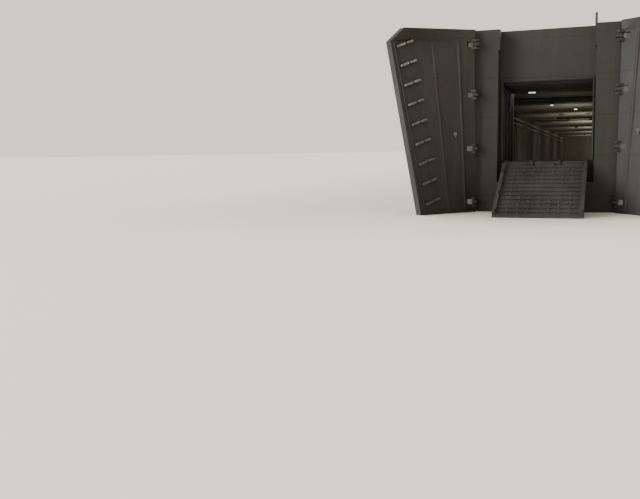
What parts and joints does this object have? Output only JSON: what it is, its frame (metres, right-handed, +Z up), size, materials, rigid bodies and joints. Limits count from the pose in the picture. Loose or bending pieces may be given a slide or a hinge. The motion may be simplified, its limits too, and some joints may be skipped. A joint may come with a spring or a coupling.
{
  "type": "tank landing ship, 1:10 scale model",
  "caption": "Flat-bottomed landing ship with open bow doors, lowered ramp, hollow tank deck, aft deckhouse, swing-out boats, turning propellers and rudders, as a 1:10 scale model.",
  "frame": {"origin": "centre of the flat bottom at midships, between the ends of the hull", "axes": "+X towards the bow, +Y to port, +Z up"},
  "size_m": [10.0876, 1.524, 2.45],
  "materials": {
    "hull_paint": "worn matte dark grey-olive paint with rust streaks",
    "deck_paint": "scuffed matte deck paint",
    "tank_deck_paint": "scraped matte paint, bare steel on treads",
    "house_paint": "matte grey-olive paint",
    "gear_paint": "dark semi-matte paint",
    "bronze": "cast and dulled",
    "raft_canvas": "painted canvas over a float ring",
    "boat_paint": "painted plywood, matte"
  },
  "bodies": {
    "hull": {"hull_bottom": "hull_paint", "tank_deck": "tank_deck_paint", "stern_block": "hull_paint", "wing_port": "hull_paint", "wing_starboard": "hull_paint", "bow_cheek_port": "hull_paint", "bow_cheek_starboard": "hull_paint", "main_deck": "deck_paint", "hatch_coaming": "deck_paint", "hatch_cover": "deck_paint", "forecastle": "deck_paint", "bow_bulwark_port": "hull_paint", "bow_bulwark_starboard": "hull_paint", "bow_bulkhead": "hull_paint", "deckhouse": "house_paint", "wheelhouse": "house_paint", "conning_tub": "house_paint", "bow_platform": "house_paint", "forward_platform_port": "house_paint", "forward_platform_starboard": "house_paint", "stern_platform_port": "house_paint", "stern_platform_starboard": "house_paint", "mast": "gear_paint", "windlass": "gear_paint", "stern_winch": "gear_paint", "stern_anchor": "gear_paint", "skeg_starboard": "hull_paint", "davit_stand_starboard": "gear_paint", "rail_aft_starboard": "gear_paint", "rail_forward_starboard": "gear_paint", "life_raft_starboard_1": "raft_canvas", "life_raft_starboard_2": "raft_canvas", "skeg_port": "hull_paint", "davit_stand_port": "gear_paint", "rail_aft_port": "gear_paint", "rail_forward_port": "gear_paint", "life_raft_port_1": "raft_canvas", "life_raft_port_2": "raft_canvas"},
    "bow_door_starboard_body": {"bow_door_starboard": "hull_paint"},
    "propeller_starboard_body": {"propeller_starboard": "bronze"},
    "rudder_starboard_body": {"rudder_starboard": "hull_paint"},
    "davit_starboard_body": {"davit_starboard": "gear_paint"},
    "boat_starboard_body": {"boat_starboard": "boat_paint"},
    "bow_door_port_body": {"bow_door_port": "hull_paint"},
    "propeller_port_body": {"propeller_port": "bronze"},
    "rudder_port_body": {"rudder_port": "hull_paint"},
    "davit_port_body": {"davit_port": "gear_paint"},
    "boat_port_body": {"boat_port": "boat_paint"},
    "bow_ramp_body": {"bow_ramp": "tank_deck_paint"}
  },
  "joints": [
    {"name": "bow_door_starboard_hinge", "type": "hinge", "parent": "hull", "child": "bow_door_starboard_body", "pos_m": [4.707, -0.33, 0.4], "axis": [0, 0, 1], "range_deg": [0, 120]},
    {"name": "bow_door_port_hinge", "type": "hinge", "parent": "hull", "child": "bow_door_port_body", "pos_m": [4.707, 0.33, 0.4], "axis": [0, 0, -1], "range_deg": [0, 120]},
    {"name": "bow_ramp_hinge", "type": "hinge", "parent": "hull", "child": "bow_ramp_body", "pos_m": [4.637, 0, 0.342], "axis": [0, -1, 0], "range_deg": [0, 122]},
    {"name": "propeller_starboard_turn", "type": "hinge", "parent": "hull", "child": "propeller_starboard_body", "pos_m": [-4.625, -0.29, 0.136], "axis": [1, 0, 0], "continuous": true},
    {"name": "rudder_starboard_turn", "type": "hinge", "parent": "hull", "child": "rudder_starboard_body", "pos_m": [-4.775, -0.29, 0.15], "axis": [0, 0, 1], "range_deg": [-35, 35]},
    {"name": "davit_starboard_swing", "type": "hinge", "parent": "hull", "child": "davit_starboard_body", "pos_m": [-1.8, -0.715, 0.8], "axis": [1, 0, 0], "range_deg": [0, 70]},
    {"name": "boat_starboard_hang", "type": "hinge", "parent": "davit_starboard_body", "child": "boat_starboard_body", "pos_m": [-1.8, -0.595, 1.175], "axis": [-1, 0, 0], "range_deg": [0, 70]},
    {"name": "propeller_port_turn", "type": "hinge", "parent": "hull", "child": "propeller_port_body", "pos_m": [-4.625, 0.29, 0.136], "axis": [1, 0, 0], "continuous": true},
    {"name": "rudder_port_turn", "type": "hinge", "parent": "hull", "child": "rudder_port_body", "pos_m": [-4.775, 0.29, 0.15], "axis": [0, 0, 1], "range_deg": [-35, 35]},
    {"name": "davit_port_swing", "type": "hinge", "parent": "hull", "child": "davit_port_body", "pos_m": [-1.8, 0.715, 0.8], "axis": [-1, 0, 0], "range_deg": [0, 70]},
    {"name": "boat_port_hang", "type": "hinge", "parent": "davit_port_body", "child": "boat_port_body", "pos_m": [-1.8, 0.595, 1.175], "axis": [1, 0, 0], "range_deg": [0, 70]}
  ],
  "couplings": [
    {"joint": "bow_door_starboard_hinge", "follows": "bow_door_port_hinge", "ratio": 1},
    {"joint": "bow_ramp_hinge", "follows": "bow_door_port_hinge", "ratio": 1.0167},
    {"joint": "rudder_starboard_turn", "follows": "rudder_port_turn", "ratio": 1},
    {"joint": "boat_starboard_hang", "follows": "davit_starboard_swing", "ratio": 1},
    {"joint": "boat_port_hang", "follows": "davit_port_swing", "ratio": 1}
  ]
}
